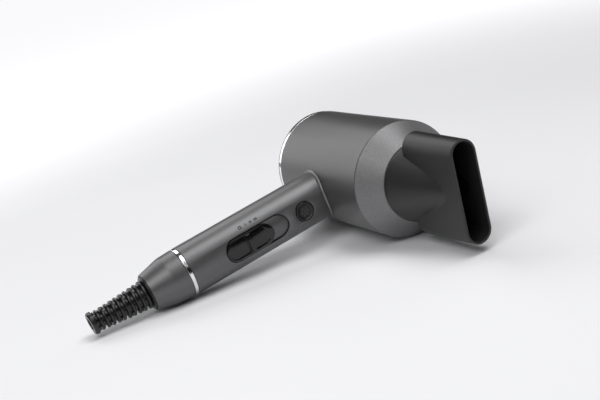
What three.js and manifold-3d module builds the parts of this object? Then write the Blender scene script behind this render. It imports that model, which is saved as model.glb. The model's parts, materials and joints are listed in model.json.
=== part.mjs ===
// Hair dryer: round barrel, round handle, flat concentrator nozzle, in millimetres.
// The pieces are laid out on two crossing axes: the barrel lies along Y with its nozzle
// towards -Y, and the handle hangs along -Z, so a depth h down the handle is z = -h.
// The last lines lay the dryer on its side, resting on the barrel and the handle's tip.
import * as THREE from 'three';
import { mergeVertices } from 'three/addons/utils/BufferGeometryUtils.js';
import Module from 'manifold-3d';

const wasm = await Module();
wasm.setup();

// ---- Driving dimensions ----
const gap = 0.3;                  // between pieces that meet or slide on each other
const airGap = 1.2;               // round the fan duct, inside the barrel

const barrelRadius = 41.4;
const barrelWall = 2.2;
const barrelFront = 64.5;         // from the handle's axis to the shoulder
const barrelRear = 50.4;          // from the handle's axis to the chrome ring
const trimRingWidth = 3.2;

const collarLength = 16.4;
const collarTipRadius = 27.9;
const collarWall = 2.2;
const collarSpigot = 7;           // part of the collar inside the barrel
const collarRim = 4.9;            // flat face round the air outlet

const nozzleReveal = 0.4;         // step from the collar's edge to the nozzle's base
const nozzleLength = 61.7;
const nozzleWall = 1.6;
const ductSetback = 6;            // the flat duct starts this far along the cone
const ductHalfLengthBase = 36.5;  // flat duct, outside
const ductHalfLengthTip = 35.3;
const ductHalfThickBase = 11;
const ductHalfThickTip = 9.7;
const coneReach = 46.3;           // where the cone dies into the flat duct
const nozzleTurn = 9.4;           // degrees, how the nozzle stands on the barrel
const magnetWall = 0.9;           // nozzle wall outside and inside the magnet ring
const magnetWidth = 2.4;
const magnetThick = 1.6;

const coverThick = 1.4;
const coverHoleRadius = 33;       // perforated area of the rear cover
const coverSlotWidth = 3;
const meshThick = 0.6;
const grilleThick = 2;
const grilleBar = 1.3;

const motorRadius = 14;
const motorLength = 23;
const motorRear = 14;             // rear face of the motor can, from the handle's axis
const motorWall = 1.2;
const damperThick = 1;
const ductWall = 1.6;
const ductRear = 42.5;
const ductFront = 8;
const vaneCount = 7;
const vaneThick = 1.4;
const shaftRadius = 1;
const boreClearance = 0.3;
const bushingRadius = 2.8;
const terminalLength = 2.8;
const fanClearance = 1.5;
const fanHubRadius = 12.5;
const fanHubLength = 15;
const bladeCount = 9;
const bladeChord = 14;
const bladeThick = 1.2;

const micaThick = 0.6;
const boardThick = 0.8;
const boardInset = 4.5;           // boards' front edge, behind the shoulder
const boardTab = 4;               // end tabs that reach out to the mica sleeve
const coilRadius = 30;
const wireRadius = 0.5;
const coilPitch = 4;
const coilSpacing = 1.6;          // beside each coil, along the barrel

const handleRadius = 18.4;
const handleWall = 2.2;
const handleEnd = 154.4;          // from the barrel's axis to the chrome ring
const handleRingWidth = 2.6;
const neckTrimHeight = 1.4;
const neckTrimProud = 0.9;

const capLength = 27.4;
const capStraight = 11;
const capMouthRadius = 13.8;
const capWall = 2;
const capLip = 0.9;

const reliefLength = 45;          // from the cap's mouth to the tip
const reliefFlangeProud = 1;
const ribCount = 10;
const ribPitch = 3.75;
const ribWidth = 2.1;
const ribRadiusBase = 10.6;
const ribRadiusTip = 7.5;
const ribDepth = 2.1;
const tipRadius = 8.2;
const tipLength = 3.4;
const cordBore = 3.8;

const slotTop = 75.2;             // switch recess, down the handle
const slotLength = 52.3;
const slotHalfWidth = 9.06;
const recessDepth = 1.1;
const plateThick = 2.2;
const knobLength = 38.6;
const knobTravel = 13;
const knobProud = 0.6;
const knobRibProud = 2.2;
const knobRibThick = 3;
const stemHalfWidth = 1.2;
const stemHalfLength = 3;

const buttonDepth = 61;           // down the handle
const buttonRadius = 7;
const buttonProud = 0.7;
const buttonTravel = 1.8;
const buttonHeight = 5.5;
const buttonWall = 1.1;

const boardFromButton = 15;       // control board, from the button's centre
const boardFromRing = 8.4;        // control board, from the chrome ring

// ---- Sizes that follow from them ----
const barrelInner = barrelRadius - barrelWall;
const collarTip = barrelFront + collarLength;
const outletRadius = collarTipRadius - collarRim;
const nozzleBaseRadius = collarTipRadius - nozzleReveal;
const magnetOuter = nozzleBaseRadius - magnetWall - gap;
const nozzleBore = magnetOuter - magnetWidth - gap - magnetWall;
const nozzleBase = collarTip + gap;
const nozzleTip = nozzleBase + nozzleLength;
const trimRingRear = barrelRear + gap + trimRingWidth;
const coverRear = trimRingRear + gap + coverThick;
const handleInner = handleRadius - handleWall;
const capTop = handleEnd + handleRingWidth + 2 * gap;
const capMouth = capTop + capLength;
const capShoulder = capTop + capStraight;
const capShoulderRadius = handleRadius - 0.6;
const capBend = capShoulder + 3;
const capBendRadius = handleRadius - 1.3;
const reliefTip = capMouth + reliefLength;
const plateOuter = handleRadius - recessDepth;
const plateInner = plateOuter - plateThick;
const knobInner = plateOuter + gap;
const knobOuter = handleRadius + knobProud;
const slotEnd = slotTop + slotLength;
const knobLow = slotEnd - gap - 0.2;
const knobCentre = knobLow - knobLength / 2;
const motorFront = motorRear - motorLength;

// ---- Geometry helpers ----
const weld = 1e-4;

function cleaned(geometry) {
  const bare = geometry.clone();
  for (const name of Object.keys(bare.attributes)) {
    if (name !== 'position') bare.deleteAttribute(name);
  }
  const merged = mergeVertices(bare, weld);
  const corners = merged.index.array;
  const kept = [];
  for (let i = 0; i < corners.length; i += 3) {
    const [a, b, c] = corners.slice(i, i + 3);
    if (a !== b && b !== c && c !== a) kept.push(a, b, c);
  }
  merged.setIndex(kept);
  return merged;
}

function solid(geometry) {
  const closed = cleaned(geometry);
  return new wasm.Manifold(new wasm.Mesh({
    numProp: 3,
    vertProperties: new Float32Array(closed.attributes.position.array),
    triVerts: new Uint32Array(closed.index.array),
  }));
}

function surface(body) {
  const mesh = body.getMesh();
  const geometry = new THREE.BufferGeometry();
  geometry.setAttribute('position', new THREE.BufferAttribute(mesh.vertProperties, 3));
  geometry.setIndex(new THREE.BufferAttribute(mesh.triVerts, 1));
  return geometry;
}

const joined = (...bodies) => bodies.reduce((whole, body) => whole.add(body));
const without = (body, ...tools) => tools.reduce((left, tool) => left.subtract(tool), body);

// Body of revolution about Y from a closed outline of [radius, y] pairs
function turned(outline, segments, start = 0) {
  const points = outline.map(([radius, y]) => new THREE.Vector2(radius, y));
  if (THREE.ShapeUtils.area(points) < 0) points.reverse();
  points.push(points[0].clone());
  return solid(new THREE.LatheGeometry(points, segments, start));
}

const ring = (outer, inner, y0, y1, segments, start) =>
  turned([[inner, y0], [outer, y0], [outer, y1], [inner, y1]], segments, start);
const rod = (radius, y0, y1, segments, start) => ring(radius, 0, y0, y1, segments, start);

// Turned about the handle's axis, from [radius, depth down the handle] pairs
const downHandle = (body) => body.rotate([-90, 0, 0]);

function block(x, y, z) {
  const box = new THREE.BoxGeometry(x[1] - x[0], y[1] - y[0], z[1] - z[0]);
  box.translate((x[0] + x[1]) / 2, (y[0] + y[1]) / 2, (z[0] + z[1]) / 2);
  return solid(box);
}

function stadium(halfLength, halfWidth) {
  const centre = halfLength - halfWidth;
  const shape = new THREE.Shape();
  shape.absarc(centre, 0, halfWidth, -Math.PI / 2, Math.PI / 2);
  shape.absarc(-centre, 0, halfWidth, Math.PI / 2, 1.5 * Math.PI);
  return shape;
}

function extruded(shape, depth, steps = 8) {
  return new THREE.ExtrudeGeometry(shape, { depth, bevelEnabled: false, curveSegments: steps });
}

// Stadium along the handle on its front (-Y) side, as deep as the handle's axis
function handleStadium(top, length, halfWidth) {
  const prism = extruded(stadium(length / 2, halfWidth), 2 * handleRadius);
  prism.rotateX(Math.PI / 2);
  prism.rotateY(Math.PI / 2);
  prism.translate(0, 0, -top - length / 2);
  return solid(prism);
}

function tubeAlong(points, radius, sides, steps) {
  const section = new THREE.Shape();
  for (let i = 0; i < sides; i += 1) {
    const angle = (2 * Math.PI * i) / sides;
    const move = i === 0 ? 'moveTo' : 'lineTo';
    section[move](radius * Math.cos(angle), radius * Math.sin(angle));
  }
  const path = new THREE.CatmullRomCurve3(points);
  return solid(new THREE.ExtrudeGeometry(section, { steps, bevelEnabled: false, extrudePath: path }));
}

// ---- Materials ----
const finishes = {
  housing: [0x6a6a6c, 0.42, 0.55],
  collar: [0x7c7c7e, 0.5, 0.45],
  chrome: [0xe4e6e8, 0.08, 1],
  blackSatin: [0x262627, 0.45, 0],
  blackGloss: [0x141415, 0.15, 0],
  rubber: [0x1b1b1c, 0.7, 0],
  steel: [0x9a9ca0, 0.35, 1],
  darkSteel: [0x3c3d40, 0.4, 0.9],
  brass: [0xb08d45, 0.35, 1],
  copper: [0xa8603a, 0.4, 1],
  nichrome: [0x8b8680, 0.45, 1],
  mica: [0xb9a98c, 0.6, 0],
  ductPlastic: [0x2f3133, 0.55, 0],
  circuitBoard: [0x1e5a38, 0.5, 0],
  component: [0x22252b, 0.45, 0],
  capacitor: [0xb7912f, 0.4, 0],
  potting: [0x303846, 0.5, 0],
  redWire: [0x8e1f1c, 0.5, 0],
  whiteWire: [0xd8d6d0, 0.5, 0],
};

const dryer = new THREE.Group();

function part(name, body, finish) {
  const [color, roughness, metalness] = finishes[finish];
  const material = new THREE.MeshStandardMaterial({ color, roughness, metalness });
  const mesh = new THREE.Mesh(surface(body), material);
  mesh.name = name;
  dryer.add(mesh);
}

// ---- Rest attitude: lying on its side, on the barrel and the handle's far end ----
// Droop of the handle at which a rim of the given radius and depth meets the floor
const droop = (radius, depth) =>
  Math.asin(barrelRadius / Math.hypot(depth, radius)) - Math.atan(radius / depth);
const restTilt = Math.min(
  droop(handleRadius, capTop), droop(capShoulderRadius, capShoulder),
  droop(capBendRadius, capBend), droop(tipRadius, reliefTip));
const round = 40;                 // segments of the barrel's bodies
const handleRound = 32;           // segments of the handle's bodies

const barrelTurned = (outline) => turned(outline, round, restTilt);
const barrelRing = (outer, inner, y0, y1) => ring(outer, inner, y0, y1, round, restTilt);

// ---- Barrel and what closes it ----
function barrelShell() {
  const tube = barrelRing(barrelRadius, barrelInner, -barrelFront, barrelRear);
  const neckHole = downHandle(rod(handleInner, 0, 2 * barrelRadius, 32));
  return without(tube, neckHole);
}

function frontCollar() {
  const spigotOuter = barrelInner - gap;
  const spigotInner = spigotOuter - collarWall;
  const shoulder = -barrelFront - gap;
  const front = -collarTip;
  const seat = front + collarWall;
  return barrelTurned([
    [spigotOuter, -barrelFront + collarSpigot], [spigotOuter, shoulder],
    [barrelRadius - 0.3, shoulder], [barrelRadius - 0.5, shoulder - 0.4],
    [collarTipRadius, front], [outletRadius, front], [outletRadius, seat],
    [collarTipRadius - 0.2, seat], [spigotInner, shoulder - 1], [spigotInner, -barrelFront + collarSpigot],
  ]);
}

// Flat grille of rings and spokes, its face normal along the barrel
function grille(rim, y0, rings, spokes) {
  const y1 = y0 + grilleThick;
  const step = rim / (rings + 0.5);
  const parts = [rod(step / 2, y0, y1, 16)];
  for (let i = 1; i <= rings; i += 1) {
    const outer = i === rings ? rim : step * (i + 0.5) - step / 2 + grilleBar / 2;
    parts.push(ring(outer, outer - grilleBar, y0, y1, 24));
  }
  for (let i = 0; i < spokes; i += 1) {
    const spoke = block([0, rim - grilleBar / 2], [y0, y1], [-grilleBar / 2, grilleBar / 2]);
    parts.push(spoke.rotate([0, (360 * i) / spokes, 0]));
  }
  return joined(...parts);
}

function rearCover() {
  const y0 = coverRear - coverThick;
  const skirt = grilleThick / 2;
  const disc = barrelTurned([
    [0, y0], [coverHoleRadius + 1, y0], [coverHoleRadius + 1, y0 - skirt],
    [coverHoleRadius + 2.5, y0 - skirt], [coverHoleRadius + 2.5, y0],
    [barrelRadius - 0.2, y0], [barrelRadius - 0.2, coverRear - 0.5],
    [barrelRadius - 0.7, coverRear], [0, coverRear],
  ]);
  const slots = [];
  const rows = 3;
  const sectors = 6;
  for (let row = 0; row < rows; row += 1) {
    const outer = coverHoleRadius - row * 2.6 * coverSlotWidth;
    const arc = new THREE.Shape();
    const half = Math.PI / sectors - coverSlotWidth / outer;
    arc.absarc(0, 0, outer, -half, half, false);
    arc.absarc(0, 0, outer - coverSlotWidth, half, -half, true);
    for (let sector = 0; sector < sectors; sector += 1) {
      const slot = extruded(arc, 4 * coverThick, 3);
      slot.rotateX(Math.PI / 2);
      slot.rotateY((2 * Math.PI * (sector + row / 2)) / sectors);
      slot.translate(0, coverRear + coverThick, 0);
      slots.push(solid(slot));
    }
  }
  return without(disc, ...slots);
}

part('barrel_shell', barrelShell(), 'housing');
part('front_collar', frontCollar(), 'collar');
part('collar_magnet_ring', barrelRing(
  collarTipRadius - gap - 0.6, outletRadius + 0.6,
  -collarTip + collarWall + gap, -collarTip + collarWall + gap + magnetThick), 'darkSteel');
part('rear_trim_ring', barrelRing(
  barrelRadius, barrelInner, barrelRear + gap, trimRingRear), 'chrome');
part('inlet_grille', grille(barrelInner - gap, ductRear + 2 * gap, 3, 6), 'ductPlastic');
part('outlet_grille', grille(outletRadius - gap, -collarTip + gap, 2, 6), 'blackSatin');
part('filter_cover', rearCover(), 'housing');
part('filter_mesh', rod(
  coverHoleRadius + 1 - gap, coverRear - coverThick - gap - meshThick,
  coverRear - coverThick - gap, 24), 'steel');

// ---- Concentrator nozzle and its magnet ring ----
// Flat duct with round ends, running from one half length and half thickness to another
function flatDuct(start, end, y0, y1) {
  const prism = extruded(stadium(start.halfLength, start.halfThick), y0 - y1);
  const place = prism.attributes.position;
  const straight = start.halfLength - start.halfThick;
  for (let i = 0; i < place.count; i += 1) {
    if (place.getZ(i) > weld) {
      const x = place.getX(i);
      const middle = Math.max(-straight, Math.min(straight, x));
      const narrowed = ((x - middle) * end.halfThick) / start.halfThick;
      place.setX(i, (middle * (end.halfLength - end.halfThick)) / straight + narrowed);
      place.setY(i, (place.getY(i) * end.halfThick) / start.halfThick);
    }
  }
  prism.rotateX(Math.PI / 2);
  prism.translate(0, y0, 0);
  return solid(prism);
}

function nozzle() {
  const base = -nozzleBase;
  const ductStart = base - ductSetback;
  const outsideStart = { halfLength: ductHalfLengthBase, halfThick: ductHalfThickBase };
  const outsideEnd = { halfLength: ductHalfLengthTip, halfThick: ductHalfThickTip };
  const inside = ({ halfLength, halfThick }) =>
    ({ halfLength: halfLength - nozzleWall, halfThick: halfThick - nozzleWall });
  const coneShare = (coneReach - ductSetback) / (nozzleLength - ductSetback);
  const thickAtReach = ductHalfThickBase + (ductHalfThickTip - ductHalfThickBase) * coneShare;
  const slope = (nozzleBaseRadius - thickAtReach) / coneReach;
  const coneEnd = coneReach + nozzleWall;
  const coneAt = (depth) => nozzleBaseRadius - slope * depth;
  const cone = turned([
    [0, base], [nozzleBaseRadius, base], [coneAt(coneEnd), base - coneEnd], [0, base - coneEnd],
  ], round);
  const duct = flatDuct(outsideStart, outsideEnd, ductStart, -nozzleTip);
  const seat = magnetThick + gap + nozzleWall;
  const hollowCone = turned([
    [0, base + 1], [nozzleBore, base + 1], [nozzleBore, base - seat],
    [coneAt(seat) - nozzleWall - 0.4, base - seat - 1],
    [coneAt(coneEnd) - nozzleWall, base - coneEnd], [0, base - coneEnd],
  ], round);
  const hollowDuct = flatDuct(
    inside(outsideStart), inside(outsideEnd), ductStart - nozzleWall, -nozzleTip);
  const insideEnd = inside(outsideEnd);
  const mouth = flatDuct(insideEnd, insideEnd, -nozzleTip + 1, -nozzleTip - 1);
  const groove = ring(
    magnetOuter + gap, magnetOuter - magnetWidth - gap, base + 1, base - magnetThick - gap, round);
  return without(joined(cone, duct), hollowCone, hollowDuct, mouth, groove);
}

const standing = (body) => body.rotate([0, nozzleTurn, 0]);
part('nozzle', standing(nozzle()), 'blackSatin');
part('nozzle_magnet_ring', ring(
  magnetOuter, magnetOuter - magnetWidth, -nozzleBase - magnetThick, -nozzleBase, round), 'darkSteel');

// ---- Fan duct, motor and rotor ----
const ductOuter = barrelInner - airGap;
const ductInner = ductOuter - ductWall;
const cupInner = motorRadius + damperThick + 2 * gap;
const cupOuter = cupInner + ductWall;
const cupRear = motorRear + gap + ductWall;

function fanDuct() {
  const flange = barrelInner - gap;
  const tube = barrelTurned([
    [ductInner, -ductFront], [ductOuter, -ductFront], [ductOuter, ductRear - 3],
    [flange, ductRear - 2], [flange, ductRear], [flange - 1, ductRear], [ductInner, ductRear - 5],
  ]);
  const cup = turned([
    [cupInner, motorFront + 4], [cupOuter, motorFront + 4], [cupOuter, cupRear],
    [bushingRadius + 3.4, cupRear], [bushingRadius + 3.4, motorRear + gap], [cupInner, motorRear + gap],
  ], 32);
  const vanes = [];
  for (let i = 0; i < vaneCount; i += 1) {
    const vane = block(
      [cupInner + ductWall / 2, ductInner + ductWall / 2],
      [motorFront + 6, cupRear - 2], [-vaneThick / 2, vaneThick / 2]);
    vanes.push(vane.rotate([0, (360 * (i + 0.5)) / vaneCount, 0]));
  }
  return joined(tube, cup, ...vanes);
}

function motorCan() {
  const bore = bushingRadius + gap;
  return turned([
    [motorRadius - motorWall, motorFront], [motorRadius, motorFront], [motorRadius, motorRear],
    [bore, motorRear], [bore, motorRear - motorWall], [motorRadius - motorWall, motorRear - motorWall],
  ], 24);
}

function magnet(turn) {
  const outer = motorRadius - motorWall - gap;
  const shell = ring(outer, outer - 2.4, motorFront + 3, motorRear - 4, 24);
  const keep = block([-motorRadius, motorRadius], [motorFront, motorRear], [3.5, motorRadius]);
  return shell.intersect(keep).rotate([0, turn, 0]);
}

function armature() {
  const outer = motorRadius - motorWall - gap - 2.4 - 0.6;
  const core = ring(outer, shaftRadius + boreClearance, motorFront + 5, motorRear - 5, 24);
  const slots = [0, 120, 240].map((turn) =>
    block([-1.3, 1.3], [motorFront, motorRear], [outer / 2, outer + 2]).rotate([0, turn, 0]));
  return without(core, ...slots);
}

const hubFront = cupRear + 1.2;
const hubRear = hubFront + fanHubLength;

function impeller() {
  const boss = 3.2;
  const wall = 1.5;
  const hub = turned([
    [0, hubRear], [fanHubRadius * 0.6, hubRear - 1], [fanHubRadius, hubRear - 4.5],
    [fanHubRadius, hubFront], [fanHubRadius - wall, hubFront], [fanHubRadius - wall, hubRear - 5],
    [boss, hubRear - 3], [boss, hubFront + 1],
    [shaftRadius + boreClearance, hubFront + 1], [shaftRadius + boreClearance, hubRear - 2],
    [0, hubRear - 2],
  ], 24);
  const tip = ductInner - fanClearance;
  const span = tip - fanHubRadius + wall / 2;
  const blades = [];
  for (let i = 0; i < bladeCount; i += 1) {
    const blade = new THREE.BoxGeometry(span, bladeChord, bladeThick, 4, 1, 1);
    const place = blade.attributes.position;
    for (let k = 0; k < place.count; k += 1) {
      const share = place.getX(k) / span + 0.5;
      const pitch = THREE.MathUtils.degToRad(35 + 25 * share);
      const corner = new THREE.Vector2(place.getY(k), place.getZ(k));
      corner.rotateAround(new THREE.Vector2(), pitch);
      place.setY(k, corner.x);
      place.setZ(k, corner.y);
    }
    blade.translate(tip - span / 2, (hubFront + hubRear) / 2 - 1, 0);
    blade.rotateY((2 * Math.PI * i) / bladeCount);
    blades.push(solid(blade));
  }
  const rim = rod(tip, hubFront, hubRear, 40);
  return joined(hub, ...blades.map((blade) => blade.intersect(rim)));
}

function motorEndCap() {
  const bore = bushingRadius + gap;
  return turned([
    [bore, motorFront - gap], [motorRadius - 0.4, motorFront - gap],
    [motorRadius - 0.4, motorFront - gap - 2], [bore + 2, motorFront - gap - 3],
    [bore, motorFront - gap - 3],
  ], 24);
}

part('fan_duct', fanDuct(), 'ductPlastic');
part('motor_damper', ring(
  cupInner - gap, motorRadius + gap, motorFront + 3, motorRear, 24), 'rubber');
part('motor_can', motorCan(), 'steel');
part('motor_end_cap', motorEndCap(), 'component');
part('motor_magnet_1', magnet(0), 'darkSteel');
part('motor_magnet_2', magnet(180), 'darkSteel');
const bushing = (y0, y1) => ring(bushingRadius, shaftRadius + boreClearance, y0, y1, 16);
part('rear_bushing', bushing(motorRear - 2.4, motorRear + 1), 'brass');
part('front_bushing', bushing(motorFront - gap - 3, motorFront - gap + 0.2), 'brass');
const terminalRoot = -motorFront + 3 + 2 * gap;
const terminalTip = terminalRoot + terminalLength;
for (const [i, side] of [-1, 1].entries()) {
  const x = side * (motorRadius - 5.5);
  part(`motor_terminal_${i + 1}`, block(
    [x - 1.2, x + 1.2], [-terminalTip, -terminalRoot], [-0.4, 0.4]), 'brass');
}
part('motor_shaft', rod(shaftRadius, motorFront - 4, hubRear - 2.4, 12), 'steel');
part('motor_armature', armature(), 'copper');
part('commutator', ring(
  shaftRadius + boreClearance + 1.8, shaftRadius + boreClearance,
  motorFront + 0.4, motorFront + 4.5, 16), 'copper');
part('fan_impeller', impeller(), 'blackSatin');

// ---- Heater ----
const sleeveOuter = barrelInner - gap - collarWall - 2 * gap;
const sleeveInner = sleeveOuter - micaThick;
const boardFront = barrelFront - boardInset;
const boardRear = terminalTip + 2 * gap;
const boardHalf = coilRadius - wireRadius - gap;
const coilRoom = boardFront - boardRear - 2 * boardTab;
const coilTurns = Math.floor((coilRoom / 2 - 1.5 * coilSpacing) / coilPitch);
const coilLength = coilPitch * coilTurns;

// Board across the sleeve, with end tabs and a half-length slot for its twin
function micaBoard(slotAtFront) {
  const reach = sleeveInner - gap;
  const middle = -(boardFront + boardRear) / 2;
  const tabs = [[-boardFront, -boardFront + boardTab], [-boardRear - boardTab, -boardRear]];
  const across = [-boardThick / 2, boardThick / 2];
  const web = block([-boardHalf, boardHalf], [-boardFront, -boardRear], across);
  const board = joined(web, ...tabs.map((y) => block([-reach, reach], y, across)));
  const half = boardThick / 2 + gap;
  const slot = slotAtFront ? [-boardFront - 1, middle + gap] : [middle - gap, -boardRear + 1];
  return without(board, block([-half, half], slot, [-1, 1]));
}

function heaterCoil(start) {
  const points = [];
  const stepsPerTurn = 20;
  for (let i = 0; i <= coilTurns * stepsPerTurn; i += 1) {
    const angle = (2 * Math.PI * i) / stepsPerTurn;
    points.push(new THREE.Vector3(
      coilRadius * Math.sin(angle), -start - (coilPitch * i) / stepsPerTurn,
      coilRadius * Math.cos(angle)));
  }
  return tubeAlong(points, wireRadius, 5, coilTurns * stepsPerTurn);
}

part('mica_sleeve', barrelRing(
  sleeveOuter, sleeveInner, -boardFront - 2, -ductFront - 2), 'mica');
part('mica_board_1', micaBoard(true), 'mica');
part('mica_board_2', micaBoard(false).rotate([0, 90, 0]), 'mica');
const coilStart = boardRear + boardTab + coilSpacing;
part('heater_coil_1', heaterCoil(coilStart), 'nichrome');
part('heater_coil_2', heaterCoil(coilStart + coilLength + coilSpacing), 'nichrome');
const boardSide = boardThick / 2 + gap;
part('thermostat', block(
  [8, 18], [-boardFront + 5, -boardFront + 13], [boardSide, boardSide + 4]), 'steel');
part('thermal_fuse', rod(1.4, 0, 10, 10).translate(
  [-12, -boardFront + 5, boardSide + 1.4]), 'whiteWire');
part('ion_emitter', turned([
  [0, 0], [0.4, 1.2], [1.6, 1.4], [1.6, 11], [0, 11],
], 12).translate([0, -collarTip + grilleThick + 2 * gap, -outletRadius + 4.5]), 'brass');

// ---- Handle shell, neck trim, chrome ring, end cap ----
const barrelRod = (radius) => rod(radius, -barrelFront, barrelRear, round, restTilt);
const neckOuter = barrelRadius + gap + neckTrimHeight;

function handleShell() {
  const tube = downHandle(ring(handleRadius, handleInner, barrelRadius / 2, handleEnd, handleRound));
  const buttonHole = rod(buttonRadius + gap, -2 * handleRadius, 0, 24).translate([0, 0, -buttonDepth]);
  return without(
    tube, barrelRod(neckOuter + gap), handleStadium(slotTop, slotLength, slotHalfWidth), buttonHole);
}

function neckTrim() {
  const tube = downHandle(ring(
    handleRadius + neckTrimProud, handleInner, barrelRadius / 2, neckOuter, handleRound));
  return without(tube.intersect(barrelRod(neckOuter)), barrelRod(barrelRadius + gap));
}

function endCap() {
  const inner = handleRadius - capWall;
  const mouth = capMouthRadius - capLip;
  return downHandle(turned([
    [inner, capTop], [handleRadius - 0.1, capTop], [capShoulderRadius, capShoulder],
    [capBendRadius, capBend], [capMouthRadius, capMouth], [mouth, capMouth],
    [mouth, capMouth - 5], [inner - 1.2, capShoulder + 1], [inner, capShoulder],
  ], handleRound));
}

part('handle_shell', handleShell(), 'housing');
part('neck_trim', neckTrim(), 'collar');
part('handle_trim_ring', downHandle(ring(
  handleRadius, handleInner, handleEnd + gap, handleEnd + gap + handleRingWidth, handleRound)), 'chrome');
part('handle_end_cap', endCap(), 'housing');

// ---- Strain relief: flange in the cap's mouth, ribs that thin out, tip ring ----
function strainRelief() {
  const flange = capMouthRadius - capLip - gap;
  const flangeEnd = capMouth + reliefFlangeProud;
  const outline = [[cordBore, capMouth - 4], [flange, capMouth - 4], [flange, flangeEnd]];
  const ribsStart = flangeEnd + 1.4;
  for (let i = 0; i < ribCount; i += 1) {
    const share = i / (ribCount - 1);
    const radius = ribRadiusBase + (ribRadiusTip - ribRadiusBase) * share;
    const start = ribsStart + i * ribPitch;
    outline.push([radius - ribDepth, start - 0.8], [radius, start]);
    outline.push([radius, start + ribWidth], [radius - ribDepth, start + ribWidth + 0.3]);
  }
  const root = ribRadiusTip - ribDepth;
  outline.push([root, reliefTip - tipLength], [tipRadius, reliefTip - tipLength]);
  outline.push([tipRadius, reliefTip], [cordBore, reliefTip]);
  return downHandle(turned(outline, 16));
}

part('strain_relief', strainRelief(), 'rubber');

// ---- Slide switch: recess plate, knob, carrier, switch ----
const handleTube = (outer, inner) =>
  downHandle(ring(outer, inner, slotTop - 10, slotEnd + 10, handleRound));

function switchPlate() {
  const flange = 1.5;
  const plate = handleStadium(slotTop + gap, slotLength - 2 * gap, slotHalfWidth - gap)
    .intersect(handleTube(plateOuter, plateInner - 0.2));
  const lip = handleStadium(
    slotTop - flange, slotLength + 2 * flange, slotHalfWidth + flange)
    .intersect(handleTube(handleInner - gap, plateInner - 0.4));
  const stemTop = knobCentre - knobTravel - stemHalfLength - 2 * gap;
  const stemSlot = block(
    [-stemHalfWidth - gap, stemHalfWidth + gap], [-handleRadius, 0],
    [-knobCentre - stemHalfLength - 2 * gap, -stemTop]);
  return without(joined(plate, lip), stemSlot);
}

function slideKnob() {
  const top = knobLow - knobLength;
  const outline = handleStadium(top, knobLength, slotHalfWidth - 2 * gap);
  const shell = outline.intersect(handleTube(knobOuter, knobInner));
  const crown = outline.intersect(handleTube(handleRadius + knobRibProud, knobInner));
  const rib = crown.intersect(block(
    [-slotHalfWidth, slotHalfWidth], [-2 * handleRadius, 0],
    [-knobCentre - knobRibThick / 2, -knobCentre + knobRibThick / 2]));
  const stem = block(
    [-stemHalfWidth, stemHalfWidth], [-knobInner - 0.6, -plateInner + 2 * gap + 0.8],
    [-knobCentre - stemHalfLength, -knobCentre + stemHalfLength]);
  return joined(shell, rib, stem);
}

const carrierFront = -plateInner + 2 * gap + 0.8 + gap;
const switchFront = carrierFront + 1.6 + gap;
const boardPlane = switchFront + 6 + gap;

part('switch_plate', switchPlate(), 'housing');
part('slide_knob', slideKnob(), 'blackGloss');
part('slider_carrier', block(
  [-4, 4], [carrierFront, carrierFront + 1.6], [-knobCentre - 6, -knobCentre + 6]), 'blackSatin');
part('slide_switch', block(
  [-5.5, 5.5], [switchFront, switchFront + 6],
  [-knobCentre - 10, -knobCentre + knobTravel + 8]), 'component');

// ---- Cool-shot button, its spring, housing and micro switch ----
const buttonFace = -handleRadius - buttonProud;
const buttonBack = buttonFace + buttonHeight;
const atButton = (body) => body.translate([0, 0, -buttonDepth]);

function coolButton() {
  const inner = buttonRadius - buttonWall;
  return atButton(turned([
    [0, buttonFace + 0.8], [inner - 0.6, buttonFace + 0.8], [inner, buttonFace],
    [buttonRadius - 0.4, buttonFace], [buttonRadius, buttonFace + 0.4],
    [buttonRadius, buttonBack], [inner, buttonBack], [inner, buttonFace + 2.2],
    [1.5, buttonFace + 2.2], [1.5, buttonBack + 1.5], [0, buttonBack + 1.5],
  ], 24));
}

const housingOuter = buttonRadius + gap + 1.1;
const housingFront = -Math.sqrt(handleInner ** 2 - housingOuter ** 2) + 2 * gap;
const housingBack = buttonBack + buttonTravel + gap + 1.8;

function buttonHousing() {
  const bore = buttonRadius + gap;
  return atButton(turned([
    [bore, housingFront], [housingOuter, housingFront], [housingOuter, housingBack],
    [2.1, housingBack], [2.1, housingBack - 1.2], [bore, housingBack - 1.2],
  ], 24));
}

function buttonSpring() {
  const start = buttonFace + 2.2 + gap + 0.4;
  const length = housingBack - 1.2 - gap - 0.4 - start;
  const turns = 3;
  const perTurn = 10;
  const points = [];
  for (let i = 0; i <= turns * perTurn; i += 1) {
    const angle = (2 * Math.PI * i) / perTurn;
    points.push(new THREE.Vector3(
      3.6 * Math.sin(angle), start + (length * i) / (turns * perTurn), 3.6 * Math.cos(angle)));
  }
  return atButton(tubeAlong(points, 0.35, 5, turns * perTurn));
}

part('cool_button', coolButton(), 'blackSatin');
part('button_housing', buttonHousing(), 'ductPlastic');
part('button_spring', buttonSpring(), 'steel');
const microFront = Math.max(housingBack, buttonBack + 1.5 + buttonTravel) + gap;
part('micro_switch', atButton(block(
  [-3, 3], [microFront, microFront + 5.5], [-6.4, 6.4])), 'component');

// ---- Electronics and cord clamp in the handle ----
const boardTop = buttonDepth + boardFromButton;
const boardFoot = handleEnd - boardFromRing;
const boardBack = boardPlane + 1.6;
const onBoard = boardBack + gap;
part('control_board', block(
  [-12, 12], [boardPlane, boardBack], [-boardFoot, -boardTop]), 'circuitBoard');
part('ion_generator', block(
  [-7.5, 7.5], [onBoard, onBoard + 9], [-boardTop - 28, -boardTop - 11]), 'potting');
part('line_capacitor', block(
  [-10.5, 0.2], [onBoard, onBoard + 7], [-boardFoot + 1, -boardFoot + 15]), 'capacitor');
part('triac', block(
  [0.8, 10.5], [onBoard, onBoard + 4.5], [-boardFoot + 1, -boardFoot + 15]), 'component');

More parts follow.
